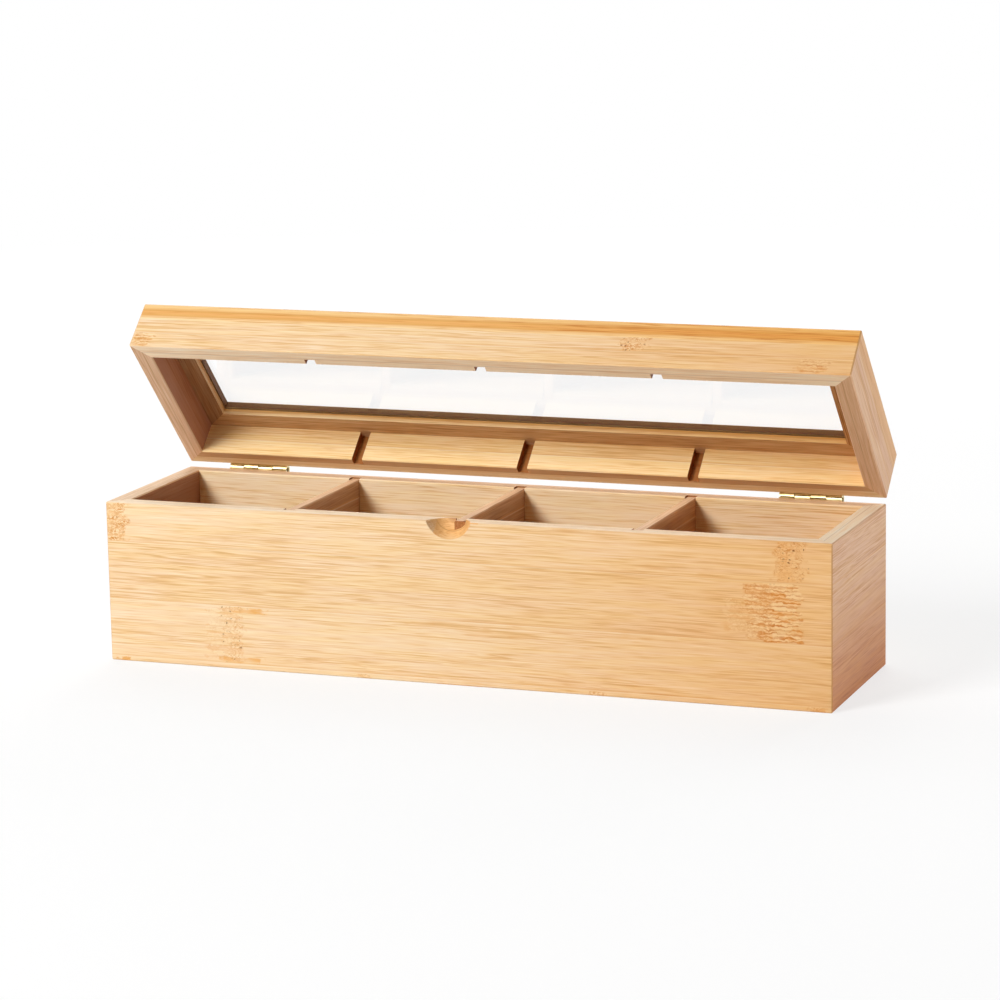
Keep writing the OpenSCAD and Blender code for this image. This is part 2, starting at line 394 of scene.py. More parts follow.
# Marks of the cane joints: "waves" are thin wavy lines, "patches" pale and orange flecks, "squiggles"
# short crooked lines, "specks" dark dots and "smears" soft stains along the grain
frontMarks = [
    {"at": (0.1490, 0.0645), "size": (0.009, 0.0180), "squiggles": 0.9, "smears": 0.7, "specks": 0.4},
    {"at": (0.1545, 0.0645), "size": (0.009, 0.0180), "squiggles": 0.7, "smears": 0.3, "specks": 1.0},
    {"at": (0.1480, 0.0422), "size": (0.018, 0.0262), "waves": 0.9, "patches": 0.9, "specks": 0.2},
    {"at": (0.1375, 0.0422), "size": (0.013, 0.0250), "waves": 0.7, "squiggles": 0.55, "patches": 0.7},
    {"at": (0.1290, 0.0402), "size": (0.014, 0.0150), "squiggles": 0.3, "patches": 0.4},
    {"at": (-0.1165, 0.0160), "size": (0.011, 0.0250), "squiggles": 0.2, "patches": 0.35},
    {"at": (-0.1085, 0.0160), "size": (0.011, 0.0258), "squiggles": 0.5, "patches": 0.3,
     "specks": 0.75, "smears": 0.15},
    {"at": (-0.1010, 0.0272), "size": (0.020, 0.0032), "smears": 1.0, "specks": 0.3},
    {"at": (-0.1050, 0.0042), "size": (0.022, 0.0034), "smears": 0.9, "specks": 0.4},
    {"at": (-0.1650, 0.0645), "size": (0.012, 0.0180), "squiggles": 1.0, "waves": 0.4,
     "specks": 0.3, "smears": 0.7},
    {"at": (-0.1630, 0.0008), "size": (0.010, 0.0032), "waves": 0.5, "smears": 0.9},
    {"at": (-0.0443, 0.0008), "size": (0.008, 0.0032), "squiggles": 0.5, "smears": 0.5, "specks": 0.9},
    {"at": (0.0640, 0.0008), "size": (0.009, 0.0032), "squiggles": 0.6, "smears": 0.7},
    {"at": (0.1635, 0.0008), "size": (0.010, 0.0036), "squiggles": 0.6, "smears": 0.8},
]
backMarks = [
    {"at": (-0.0930, 0.0422), "size": (0.014, 0.0262), "waves": 0.9, "patches": 0.8, "squiggles": 0.4},
    {"at": (0.0520, 0.0160), "size": (0.012, 0.0262), "squiggles": 0.5, "patches": 0.4, "specks": 0.8},
    {"at": (0.1440, 0.0645), "size": (0.014, 0.0180), "waves": 0.6, "squiggles": 0.5, "smears": 0.4},
]
lidFrontMarks = [
    {"at": (0.0700, 0.0125), "size": (0.014, 0.0092), "squiggles": 0.9, "specks": 1.0, "smears": 0.25},
    {"at": (0.1520, 0.0040), "size": (0.014, 0.0078), "waves": 0.8, "patches": 0.8, "squiggles": 0.4},
    {"at": (-0.1640, 0.0040), "size": (0.010, 0.0078), "waves": 0.9, "smears": 0.4},
]
marking = {
    "innerShift": 1.0,        # the inner layer of a board has none of them
    "edge": (0.013, 0.0, 0.0016),     # how far the edges of a mark wander
    "edgeGrain": 240.0,
    "ragged": (0.004, 0.0, 0.0016),   # and the lines inside it
    "raggedGrain": 420.0,
    "stain": (110, 420, 420),
    "stainFade": (0.62, 0.38, 0.35, 1.0),     # lines are weaker where the stain is strong
    "smearRange": (0.32, 0.60),
    "smearShare": 0.85,
    "patchLength": 0.0060,
    "patchHeight": 0.0016,
    "patchSoft": 0.35,
    "patchPale": (0.50, 0.70),        # which patches are paler than the ground, and which deeper
    "patchDeep": (0.42, 0.25),
    "patchShare": 0.8,
    "wavePeriod": math.pi / 10,       # length of one wave of the texture at scale 1
    "wavePitch": 0.0017,
    "waveSway": 6.5,
    "waveStretch": 0.42,
    "waveDetail": 3.0,
    "waveDetailScale": 2.4,
    "waveRoughness": 0.7,
    "waveDark": (0.55, 0.95),
    "wavePale": (0.40, 0.05),
    "wavePaleShare": 0.7,
    "squiggle": (520, 1, 850),
    "squiggleLine": 0.085,
    "squiggleCore": 0.2,      # share of the line's width at full strength
    "squiggleGround": 0.4,    # the ground round the lines is paler by this share
    "dotSpacing": 0.0021,
    "dotLots": (0.45, 1.0),   # only some places have a dot
    "dotSize": 0.28,
    "dotCore": 0.4,
    "dotShare": 0.9,
}


# Colour of the plain cane: fibres, dashes and the seams between strips
def caneColor(tree, figure, tone, look):
    color = ramp(tree, tone, look["stops"])
    drift = mixColor(tree, figure["Glow"], look["pinkColor"], look["yellowColor"])
    color = mixColor(tree, 1.0, color, drift, "MULTIPLY")
    for mask, part in (("Dash", "dash"), ("SeamDark", "seam"), ("SeamPale", "pale")):
        amount = times(tree, figure[mask], look[part + "Share"])
        color = mixColor(tree, amount, color, look[part + "Color"])
    return color


# Layers of the window frame, seen on its edges, and painted shade on its lip over the glass
bandWobble = {"grain": (14, 60, 60), "depth": 0.0012}
bandShade = [(0.10, "#e2c3a0"), (0.42, "#fbf5ee"), (0.70, plain)]


def addBands(tree, at, tone, color, facing, look):
    axes = axesOf(tree, at)
    wobble = centred(tree, noise(tree, at, bandWobble["grain"], detail=1.0))
    height = calc(tree, "MULTIPLY_ADD", wobble, bandWobble["depth"], axes["Z"])
    low, high = look["bands"][0][0], look["bands"][-1][0]
    stops = [((place - low) / (high - low), code) for place, code in look["bands"]]
    layers = ramp(tree, remap(tree, height, low, high), stops)
    layers = mixColor(tree, 1.0, layers, ramp(tree, tone, bandShade), "MULTIPLY")
    onEdge = remap(tree, facing[1], *faces["side"], smooth=True)
    color = mixColor(tree, onEdge, color, layers)
    # painted shade: the lip over the glass is darkened where little light reaches it
    lip = times(tree, calc(tree, "GREATER_THAN", axes["Z"], look["lipHeight"]),
                calc(tree, "GREATER_THAN", axes["Y"], look["lipDepth"]), onEdge)
    return mixColor(tree, lip, color, look["lipShadeColor"], "MULTIPLY")


def wandering(tree, at, grain, reach):
    wander = addNode(tree, "TexNoise")
    wander.inputs["Scale"].default_value = grain
    tree.links.new(at, wander.inputs["Vector"])
    node = addNode(tree, "VectorMath", operation="MULTIPLY_ADD")
    tree.links.new(offsetVector(tree, wander.outputs["Color"], (-0.5, -0.5, -0.5)), node.inputs[0])
    node.inputs[1].default_value = reach
    tree.links.new(at, node.inputs[2])
    return node.outputs[0]


def addPatches(tree, ragged, mask, color, look):
    # long flecks, some paler and some deeper than the ground
    fleck = addNode(tree, "TexVoronoi", voronoi_dimensions="2D", feature="SMOOTH_F1")
    fleck.inputs["Scale"].default_value = 1.0
    fleck.inputs["Smoothness"].default_value = marking["patchSoft"]
    scale = (1 / marking["patchLength"], 1, 1 / marking["patchHeight"])
    tree.links.new(turnedFlat(tree, ragged, scale), fleck.inputs["Vector"])
    lot = axesOf(tree, fleck.outputs["Color"])["X"]
    for lots, code in (("patchPale", "fleckColor"), ("patchDeep", "deepColor")):
        chosen = times(tree, remap(tree, lot, *marking[lots]), mask, marking["patchShare"])
        color = mixColor(tree, chosen, color, look[code])
    return color


def addWaves(tree, ragged, mask, strength, color, look):
    waves = addNode(tree, "TexWave", bands_direction="Z")
    stretched = mapped(tree, ragged, Scale=(marking["waveStretch"], 1, 1))
    tree.links.new(stretched, waves.inputs["Vector"])
    waves.inputs["Scale"].default_value = marking["wavePeriod"] / marking["wavePitch"]
    waves.inputs["Distortion"].default_value = marking["waveSway"]
    waves.inputs["Detail"].default_value = marking["waveDetail"]
    waves.inputs["Detail Scale"].default_value = marking["waveDetailScale"]
    waves.inputs["Detail Roughness"].default_value = marking["waveRoughness"]
    dark = times(tree, remap(tree, waves.outputs["Fac"], *marking["waveDark"]), mask)
    pale = times(tree, remap(tree, waves.outputs["Fac"], *marking["wavePale"]), mask)
    color = mixColor(tree, times(tree, dark, strength), color, look["waveColor"])
    return mixColor(tree, times(tree, pale, marking["wavePaleShare"]), color, look["fleckColor"])


def addSquiggles(tree, at, mask, strength, color, look):
    # the lines where a noise passes its middle
    ground = noise(tree, at, marking["squiggle"], detail=1.5, rough=0.55, warp=0.6)
    away = calc(tree, "ABSOLUTE", centred(tree, ground))
    color = mixColor(tree, times(tree, mask, marking["squiggleGround"]), color, look["fleckColor"])
    core = marking["squiggleLine"] * marking["squiggleCore"]
    line = times(tree, remap(tree, away, marking["squiggleLine"], core), mask, strength)
    return mixColor(tree, line, color, look["squiggleColor"])


def addDots(tree, ragged, mask, color, look):
    dots = addNode(tree, "TexVoronoi", voronoi_dimensions="2D")
    dots.inputs["Scale"].default_value = 1 / marking["dotSpacing"]
    tree.links.new(turnedFlat(tree, ragged), dots.inputs["Vector"])
    lot = axesOf(tree, dots.outputs["Color"])["X"]
    edge = remap(tree, lot, *marking["dotLots"], 0.0, marking["dotSize"])
    dot = remap(tree, dots.outputs["Distance"], edge, times(tree, edge, marking["dotCore"]), smooth=True)
    dot = calc(tree, "MULTIPLY", dot, mask, clamp=True)
    return mixColor(tree, times(tree, dot, marking["dotShare"]), color, look["speckColor"])


def addMarks(tree, at, color, marks, look):
    # flat in the plane of the board, and moved off it on the inner layer
    axes = axesOf(tree, at)
    inner = calc(tree, "GREATER_THAN", axes["Y"], fibre["plyDepth"])
    flat = addNode(tree, "CombineXYZ")
    tree.links.new(calc(tree, "MULTIPLY_ADD", inner, marking["innerShift"], axes["X"]), flat.inputs["X"])
    tree.links.new(axes["Z"], flat.inputs["Z"])
    at = flat.outputs[0]
    # the edges of the marks are ragged, and so are the lines inside
    edges = wandering(tree, at, marking["edgeGrain"], marking["edge"])
    ragged = wandering(tree, at, marking["raggedGrain"], marking["ragged"])
    masks = dict.fromkeys(("waves", "patches", "squiggles", "specks", "smears"), 0.0)
    for mark in marks:
        mask = useGroup(tree, markGroup, Vector=edges, Along=mark["at"][0], Up=mark["at"][1],
                        Length=mark["size"][0], Height=mark["size"][1])["Mask"]
        for kind in masks:
            if kind in mark:
                masks[kind] = calc(tree, "MAXIMUM", times(tree, mask, mark[kind]), masks[kind])
    stain = noise(tree, at, marking["stain"], detail=1.0)
    smear = times(tree, remap(tree, stain, *marking["smearRange"]), masks["smears"],
                  marking["smearShare"])
    strength = remap(tree, stain, *marking["stainFade"])
    color = mixColor(tree, smear, color, look["smearColor"])
    color = addPatches(tree, ragged, masks["patches"], color, look)
    color = addWaves(tree, ragged, masks["waves"], strength, color, look)
    color = addSquiggles(tree, at, masks["squiggles"], strength, color, look)
    return addDots(tree, ragged, masks["specks"], color, look)


# The two layers of a board show on every cut
def addLayers(tree, at, onRim, color, facing, look):
    depth = axesOf(tree, at)["Y"]
    if look["innerRimColor"] != plain:
        innerRim = times(tree, onRim, calc(tree, "GREATER_THAN", depth, fibre["plyDepth"]))
        color = mixColor(tree, innerRim, color, look["innerRimColor"], "MULTIPLY")
    away = calc(tree, "ABSOLUTE", calc(tree, "SUBTRACT", depth, fibre["plyDepth"]))
    line = remap(tree, away, fibre["plyLine"], fibre["plyLine"] * fibre["plyCore"])
    onCut = remap(tree, facing[1], *faces["cut"])
    return mixColor(tree, times(tree, line, onCut, look["plyShare"]), color, look["plyColor"])


# The cane is warmer towards the right end of the box, and some boards carry painted shade: on the inner
# face, towards the lower edge, or over the whole board
def addTints(tree, boxPlace, at, onRim, color, facing, look):
    axes = axesOf(tree, at)
    warm = remap(tree, axesOf(tree, boxPlace)["X"], *look["warmReach"], 0.0, look["warmth"], smooth=True)
    warm = times(tree, warm, remap(tree, onRim, 0.0, 1.0, 1.0, look["warmRim"]))
    color = mixColor(tree, warm, color, look["warmColor"], "MULTIPLY")
    # painted shade: the inner face is darkened
    if look["insideShadeColor"] != plain:
        onShadedInside = times(tree, remap(tree, axes["Y"], *look["insideFrom"]),
                         remap(tree, facing[1], *faces["side"]))
        color = mixColor(tree, onShadedInside, color, look["insideShadeColor"], "MULTIPLY")
    # painted shade, darker towards the lower edge
    if look["lowShadeColor"] != plain:
        low = remap(tree, axes["Z"], look["lowReach"], 0.0)
        color = mixColor(tree, low, color, look["lowShadeColor"], "MULTIPLY")
    # painted shade: the whole board is darkened
    if look["shadeTint"] != plain:
        color = mixColor(tree, 1.0, color, look["shadeTint"], "MULTIPLY")
    return color


# Cuts across the grain and eased corners are darker, the floors of grooves carry painted shade, and the
# scoop is warmer
def addCuts(tree, at, color, facing, look):
    axes = axesOf(tree, at)
    across = remap(tree, facing[0], *faces["across"])
    color = mixColor(tree, across, color, look["endColor"], "MULTIPLY")
    # painted shade on the floors of grooves
    deep = times(tree, calc(tree, "GREATER_THAN", axes["Y"], look["grooveFrom"]),
                 calc(tree, "LESS_THAN", axes["Y"], look["innerDepth"] - look["grooveSlack"]),
                 remap(tree, facing[1], *faces["grooveFloor"]))
    color = mixColor(tree, deep, color, look["grooveShadeColor"], "MULTIPLY")
    if "scoopReach" in look:
        straightest = calc(tree, "MAXIMUM", calc(tree, "MAXIMUM", facing[0], facing[1]), facing[2])
        near = calc(tree, "LESS_THAN", calc(tree, "ABSOLUTE", axes["X"]), look["scoopReach"])
        scooped = times(tree, remap(tree, straightest, *faces["scoop"]), near)
        color = mixColor(tree, scooped, color, look["scoopColor"], "MULTIPLY")
    corner = times(tree, remap(tree, facing[0], *faces["corner"]),
                   remap(tree, facing[1], *faces["corner"]), look["cornerShare"])
    return mixColor(tree, corner, color, look["cornerColor"])


def bambooMaterial(name, space, seed, marks=(), **changes):
    look = dict(bambooLook, **changes)
    material, tree, shader = newMaterial(name)
    where = addNode(tree, "TexCoord")
    turn = space.to_euler()
    at = mapped(tree, where.outputs["Object"], Location=space.to_translation(), Rotation=turn)
    normal = mapped(tree, where.outputs["Normal"], "VECTOR", Rotation=turn)
    facing = [calc(tree, "ABSOLUTE", axis) for axis in axesOf(tree, normal)]
    figure = useGroup(tree, figureGroup, Vector=at, Pitch=look["stripPitch"],
                      Start=look["stripStart"], Seed=float(seed))
    strip = centred(tree, figure["Random"])
    tone = calc(tree, "MULTIPLY_ADD", strip, look["stripSpread"], figure["Tone"])
    color = caneColor(tree, figure, tone, look)
    if "bands" in look:
        color = addBands(tree, at, tone, color, facing, look)
    if marks:
        color = addMarks(tree, at, color, marks, look)
    onRim = remap(tree, facing[2], *faces["rim"], smooth=True)
    color = mixColor(tree, onRim, color, ramp(tree, tone, look["rimStops"]))
    color = addLayers(tree, at, onRim, color, facing, look)
    color = addTints(tree, where.outputs["Object"], at, onRim, color, facing, look)
    color = addCuts(tree, at, color, facing, look)
    tree.links.new(color, shader.inputs["Base Color"])
    rough = remap(tree, figure["Hair"], *middle, *look["roughness"])
    tree.links.new(rough, shader.inputs["Roughness"])
    shader.inputs["Specular IOR Level"].default_value = look["sheen"]
    bump = addNode(tree, "Bump")
    bump.inputs["Strength"].default_value = look["reliefStrength"]
    bump.inputs["Distance"].default_value = look["relief"]
    tree.links.new(figure["Hair"], bump.inputs["Height"])
    tree.links.new(bump.outputs[0], shader.inputs["Normal"])
    return material


def dress(name, material):
    piece = nodes[name]
    piece.data.materials.clear()
    piece.data.materials.append(material)


# Boards, and the heights of the layers in the edge of the window frame
frameBands = [
    (0.0158, "#ffe0ae"), (0.0170, "#f8d198"), (0.0180, "#e7ae63"),
    (0.0198, "#f0b66c"), (0.0209, "#e4aa5e"), (0.0216, "#f0bf7a"),
    (0.0226, "#f8ce8d"), (0.0236, "#f8cf94"), (0.0245, "#f2cc98"),
]
sideBands = [
    (0.0158, "#f6dcca"), (0.0176, "#f0d0ba"), (0.0192, "#ecc8ae"),
    (0.0209, "#f2d2bd"), (0.0245, "#f4d6c2"),
]
endStops = shades(endPlaces, "#dcb193 #e9c7b2 #f1d5c7 #f6ded1 #fae8dc")
backStops = shades(canePlaces, "#e0b886 #eecfa1 #f6ddb7 #f9e3c1 #fdebcf")
paleStops = shades(canePlaces, "#e9bb7a #f5ce92 #fddba4 #ffe1ae #ffe9bd")
# painted shade: the dividers' colours are darker than the boards'
dividerShadeStops = shades(endPlaces, "#ab7a52 #b88860 #c1936c #c99d77 #d1aa86")
oldRim = shades(rimPlaces, "#d0a77c #e2bd95 #ebcba9 #f4dcc0")
lidRim = shades(rimPlaces, "#c8996e #daad84 #e2ba96 #ebc9aa")
# painted light: the rim of the base's right side is paler than the others
paintedLightRim = shades(rimPlaces, "#f6dbb6 #fee8c8 #fff0d8 #fff6e6")
backRim = shades(rimPlaces, "#d4ac7a #e0bc8c #e4c69a #ead0a8")
railRim = shades(rimPlaces, "#b27e4b #c99967 #d8af80 #e5c196")
dividerRim = shades(rimPlaces, "#d3a276 #e2b68c #ebc39c #f3d1ae")
boardLow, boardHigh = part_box("base_front_board")
boardDepth = boardHigh.y - boardLow.y
boardLooks = {
    "base_front": {"innerDepth": boardDepth, "scoopReach": 0.0106},
    # the right side carries painted shade towards its lower edge and painted light on its rim
    "base_right": {"stops": endStops, "lowShadeColor": "#dfb48b", "rimStops": paintedLightRim},
    "base_back": {"innerDepth": boardDepth, "stops": backStops, "warmth": 0.5, "rimStops": oldRim},
    # the left boards carry painted shade on their inner faces
    "base_left": {"insideShadeColor": "#ae8b7e", "rimStops": oldRim},
    "lid_front": {"innerDepth": boardDepth},
    "lid_right": {"stops": endStops, "rimStops": lidRim},
    "lid_back": {"innerDepth": boardDepth, "stops": paleStops, "warmth": 0.5, "rimStops": backRim,
                 "innerRimColor": "#e6d2c6"},
    # painted shade on the inner face
    "lid_left": {"insideShadeColor": "#b4918a", "rimStops": lidRim},
}
railLooks = {
    "front": {"bands": frameBands},
    "right": {"bands": sideBands},
    "back": {"bands": frameBands},
    # the left rail carries painted shade over the whole rail
    "left": {"bands": frameBands, "shadeTint": "#d0c7c2"},
}
boardMarks = {
    "base_front": frontMarks,
    "base_back": backMarks,
    "lid_front": lidFrontMarks,
}
# For each kind of board, the height of one seam, the first seed and the step to the next seed
strips = {
    "base": {"start": 0.0025, "seed": 3, "step": 11},
    "lid": {"start": 0.0080, "seed": 5, "step": 13},
    "frame": {"start": 0.0172, "seed": 8, "step": 17},
    "panel": {"start": -0.04, "seed": 40, "step": 0},
    "divider": {"start": 0.012, "seed": 50, "step": 3},
}


def dressBoard(node, kind, index, place, space, marks=(), **changes):
    seed = strips[kind]["seed"] + strips[kind]["step"] * index
    name = " ".join(["bamboo", kind] + place)
    dress(node, bambooMaterial(name, space, seed, marks, stripStart=strips[kind]["start"], **changes))


for index, side in enumerate(("front", "right", "back", "left")):
    for part in ("base", "lid"):
        board = part + "_" + side
        dressBoard(board + "_board", part, index, [side], boardSpace(side, part == "lid"),
                   boardMarks.get(board, ()), **boardLooks[board])
    dressBoard("frame_" + side + "_rail", "frame", index, [side], boardSpace(side, True),
               warmColor="#fae8c4", rimStops=railRim, **railLooks[side])
dressBoard("base_panel", "panel", 0, [], panelSpace())
for index, place in enumerate(("left", "middle", "right")):
    divider = "divider_" + place
    dressBoard(divider, "divider", index, [place], dividerSpace(divider),
               endColor="#ecd0ac", rimStops=dividerRim, stops=dividerShadeStops)
print("boards dressed")


# Modelling by hand: pick faces or edges of the open mesh by their place
def pick(piece, kind, test):
    bpy.ops.mesh.select_mode(type=kind)
    bpy.ops.mesh.select_all(action="DESELECT")
    shape = bmesh.from_edit_mesh(piece.data)
    for item in shape.faces if kind == "FACE" else shape.edges:
        if kind == "FACE":
            item.select_set(test(item.calc_center_median(), item.normal))
        else:
            ends = [v.co for v in item.verts]
            item.select_set(test((ends[0] + ends[1]) / 2, (ends[1] - ends[0]).normalized()))
    bmesh.update_edit_mesh(piece.data)


def startPiece(name):
    piece = bpy.context.object
    piece.name = piece.data.name = name
    bpy.ops.object.transform_apply(location=True, rotation=True, scale=True)
    return piece


def chooseOnly(piece):
    bpy.ops.object.select_all(action="DESELECT")
    piece.select_set(True)
    bpy.context.view_layer.objects.active = piece


def combine(piece, other, operation):
    chooseOnly(piece)
    modifier = piece.modifiers.new("boolean", "BOOLEAN")
    modifier.operation = operation
    modifier.object = other
    modifier.solver = "EXACT"
    bpy.ops.object.modifier_apply(modifier=modifier.name)
    bpy.data.objects.remove(other)


def copyOf(piece, name, places):
    # one mesh that holds the shape once for each place
    shape = bmesh.new()
    for place in places:
        mesh = piece.data.copy()
        mesh.transform(place)
        shape.from_mesh(mesh)
        bpy.data.meshes.remove(mesh)
    mesh = bpy.data.meshes.new(name)
    shape.to_mesh(mesh)
    shape.free()
    copy = bpy.data.objects.new(name, mesh)
    scene.collection.objects.link(copy)
    return copy


# Hinges, modelled round the pin's middle: x along the pin, the board behind at -y, the leaf down -z
pinLow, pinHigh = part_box("hinge_right_pin")
leafLow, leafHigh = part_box("hinge_right_base_leaf")
straight = 0.9                # a normal or an edge runs along an axis when its share is above this
roundSides = 32
hinge = {
    "length": leafHigh.x - leafLow.x,
    "reach": hingeLine.z - leafLow.z,     # from the pin's middle down to the leaf's lower edge
    "back": hingeLine.y - leafLow.y,      # and to the board behind it
    "sheet": 0.001,
    "barrel": 0.00225,        # outer radius of a roll
    "knuckles": 4,
    "gap": 0.0003,
    "corner": 0.0016,
    "cornerSteps": 5,
    "tuck": 0.0004,           # the drawn-up sheet ends this far under the pin's middle, in the roll
    "tuckIn": 0.0001,         # and this far in from the roll's side
    "seam": (27, 42),         # angles of the roll's seam, up from the side next to the board
    "rollSteps": 26,
    "weld": 0.00001,
    "holeIn": 0.006,          # from the leaf's end to a screw
    "sinkDepth": 0.0012,      # a screw's hole narrows at 45 degrees
    "sinkPlay": 0.00006,
    "pinRadius": 0.0012,
    "pinDome": 0.0005,
    "pinSteps": 4,
    "smooth": 35,             # edges up to this many degrees are shaded smooth
}
screw = {
    "head": 0.0021,
    "shank": 0.0011,
    "length": 0.007,
    "tip": 0.0016,
    "dome": 0.0003,
    "domeSteps": ((0.12, 0.5), (0.25, 0.4), (0.3, 0.1)),      # share of the head in, of the dome up
    "slotWidth": 0.0006,
    "slotDepth": 0.0009,
    "slotSpan": 0.0026,
    "slotTaper": 0.45,
}
leafFront = hinge["sheet"] - hinge["back"]
screwDrop = (hinge["reach"] + hinge["back"]) / 2
screwOut = hinge["length"] / 2 - hinge["holeIn"]
screwPlaces = [Matrix.Translation((side * screwOut, leafFront, -screwDrop)) for side in (-1, 1)]


def makeScrew():
    bpy.ops.object.select_all(action="DESELECT")
    deep = screw["head"] - screw["shank"]
    bpy.ops.mesh.primitive_cone_add(vertices=roundSides, radius1=screw["shank"], radius2=screw["head"],
                                    depth=deep, location=(0, 0, -deep / 2))
    piece = startPiece("screw")
    bpy.ops.object.mode_set(mode="EDIT")
    pick(piece, "FACE", lambda at, normal: normal.z > straight)
    for inward, rise in screw["domeSteps"]:
        bpy.ops.mesh.inset(thickness=screw["head"] * inward, depth=screw["dome"] * rise)
    pick(piece, "FACE", lambda at, normal: normal.z < -straight)
    down = screw["length"] - screw["tip"] - deep
    bpy.ops.mesh.extrude_region_move(TRANSFORM_OT_translate={"value": (0, 0, -down)})
    bpy.ops.mesh.extrude_region_move(TRANSFORM_OT_translate={"value": (0, 0, -screw["tip"])})
    bpy.ops.mesh.merge(type="CENTER")
    bpy.ops.object.mode_set(mode="OBJECT")
    slot = (screw["slotSpan"], screw["slotWidth"], screw["slotDepth"] * 2)
    for turn in (0, 90):
        bpy.ops.object.select_all(action="DESELECT")
        bpy.ops.mesh.primitive_cube_add(size=1, location=(0, 0, screw["dome"]),
                                        rotation=(0, 0, math.radians(turn)), scale=slot)
        cutter = startPiece("cross")
        bpy.ops.object.mode_set(mode="EDIT")
        pick(cutter, "FACE", lambda at, normal: normal.z < -straight)
        bpy.ops.transform.resize(value=(screw["slotTaper"], screw["slotTaper"], 1))
        bpy.ops.object.mode_set(mode="OBJECT")
        combine(piece, cutter, "DIFFERENCE")
    piece.data.transform(Matrix.Rotation(math.radians(-90), 4, "X"))
    return piece


def makeRoll(x, width):
    # a strip of sheet, spun round the pin from one side of the seam to the other
    bpy.ops.object.select_all(action="DESELECT")
    first, last = (math.radians(angle) for angle in (hinge["seam"][1], hinge["seam"][0] + 360))
    radius = hinge["barrel"] - hinge["sheet"] / 2
    start = (x, -radius * math.cos(first), radius * math.sin(first))
    bpy.ops.mesh.primitive_plane_add(size=1, location=start, rotation=(-first, 0, 0))
    bpy.context.object.scale = (width, hinge["sheet"], 1)
    piece = startPiece("roll")
    bpy.ops.object.mode_set(mode="EDIT")
    bpy.ops.mesh.select_all(action="SELECT")
    bpy.ops.mesh.spin(steps=hinge["rollSteps"], angle=last - first, center=(0, 0, 0), axis=(1, 0, 0))
    bpy.ops.mesh.select_all(action="SELECT")
    bpy.ops.mesh.normals_make_consistent(inside=False)
    bpy.ops.object.mode_set(mode="OBJECT")
    return piece


def makeLeaf(firstKnuckle):
    bpy.ops.object.select_all(action="DESELECT")
    top = hinge["back"]
    tall = hinge["reach"] - top
    centre = (0, leafFront - hinge["sheet"] / 2, -top - tall / 2)
    bpy.ops.mesh.primitive_cube_add(size=1, location=centre,
                                    scale=(hinge["length"], hinge["sheet"], tall))
    piece = startPiece("leaf")
    bpy.ops.object.mode_set(mode="EDIT")
    pick(piece, "EDGE", lambda at, along: abs(along.y) > straight and at.z < -top - tall / 2)
    bpy.ops.mesh.bevel(offset=hinge["corner"], segments=hinge["cornerSteps"], affect="EDGES")
    width = (hinge["length"] - (hinge["knuckles"] - 1) * hinge["gap"]) / hinge["knuckles"]
    starts = [-hinge["length"] / 2 + index * (width + hinge["gap"])
              for index in range(hinge["knuckles"])]
    for place in [x for start in starts for x in (start, start + width)][1:-1]:
        bpy.ops.mesh.select_all(action="SELECT")
        bpy.ops.mesh.bisect(plane_co=(place, 0, 0), plane_no=(1, 0, 0))
    # every second knuckle is drawn up into its roll
    rolled = [start + width / 2 for start in starts[firstKnuckle::2]]
    pick(piece, "FACE", lambda at, normal:
         normal.z > straight and min(abs(at.x - x) for x in rolled) < width / 4)
    outward = hinge["back"] - hinge["barrel"] + hinge["tuckIn"]
    bpy.ops.mesh.extrude_region_move(TRANSFORM_OT_translate={"value": (0, outward, top - hinge["tuck"])})
    bpy.ops.object.mode_set(mode="OBJECT")
    for x in rolled:
        combine(piece, makeRoll(x, width), "UNION")
    rim = screw["head"] + hinge["sinkPlay"]
    depth = hinge["sinkDepth"]
    for place in screwPlaces:
        bpy.ops.object.select_all(action="DESELECT")
        bpy.ops.mesh.primitive_cone_add(vertices=roundSides, radius1=rim - depth, radius2=rim,
                                        depth=depth, rotation=(math.radians(-90), 0, 0),
                                        location=place.to_translation() - Vector((0, depth / 2, 0)))
        combine(piece, startPiece("countersink"), "DIFFERENCE")
    bpy.ops.object.mode_set(mode="EDIT")
    bpy.ops.mesh.select_all(action="SELECT")
    bpy.ops.mesh.remove_doubles(threshold=hinge["weld"])
    bpy.ops.object.mode_set(mode="OBJECT")
    return piece


def makePin():
    bpy.ops.object.select_all(action="DESELECT")
    bpy.ops.mesh.primitive_cylinder_add(vertices=roundSides, radius=hinge["pinRadius"],
                                        depth=pinHigh.x - pinLow.x, rotation=(0, math.radians(90), 0))
    piece = startPiece("pin")
    bpy.ops.object.mode_set(mode="EDIT")
    pick(piece, "EDGE", lambda at, along: abs(along.x) < 1 - straight)
    bpy.ops.mesh.bevel(offset=hinge["pinDome"], segments=hinge["pinSteps"], affect="EDGES")
    bpy.ops.object.mode_set(mode="OBJECT")
    return piece


# Brass, cloudy and brushed
brassLook = {
    "cloud": (350, 350, 350),
    "brushed": (160, 5200, 5200),
    "brushedShare": 0.5,      # share of the brushing in how worn the brass is
    "colorPlaces": (0.15, 0.5, 0.85),
    "roughSpread": (-0.05, 0.06),
    "relief": 0.00002,
    "reliefStrength": 0.2,
}


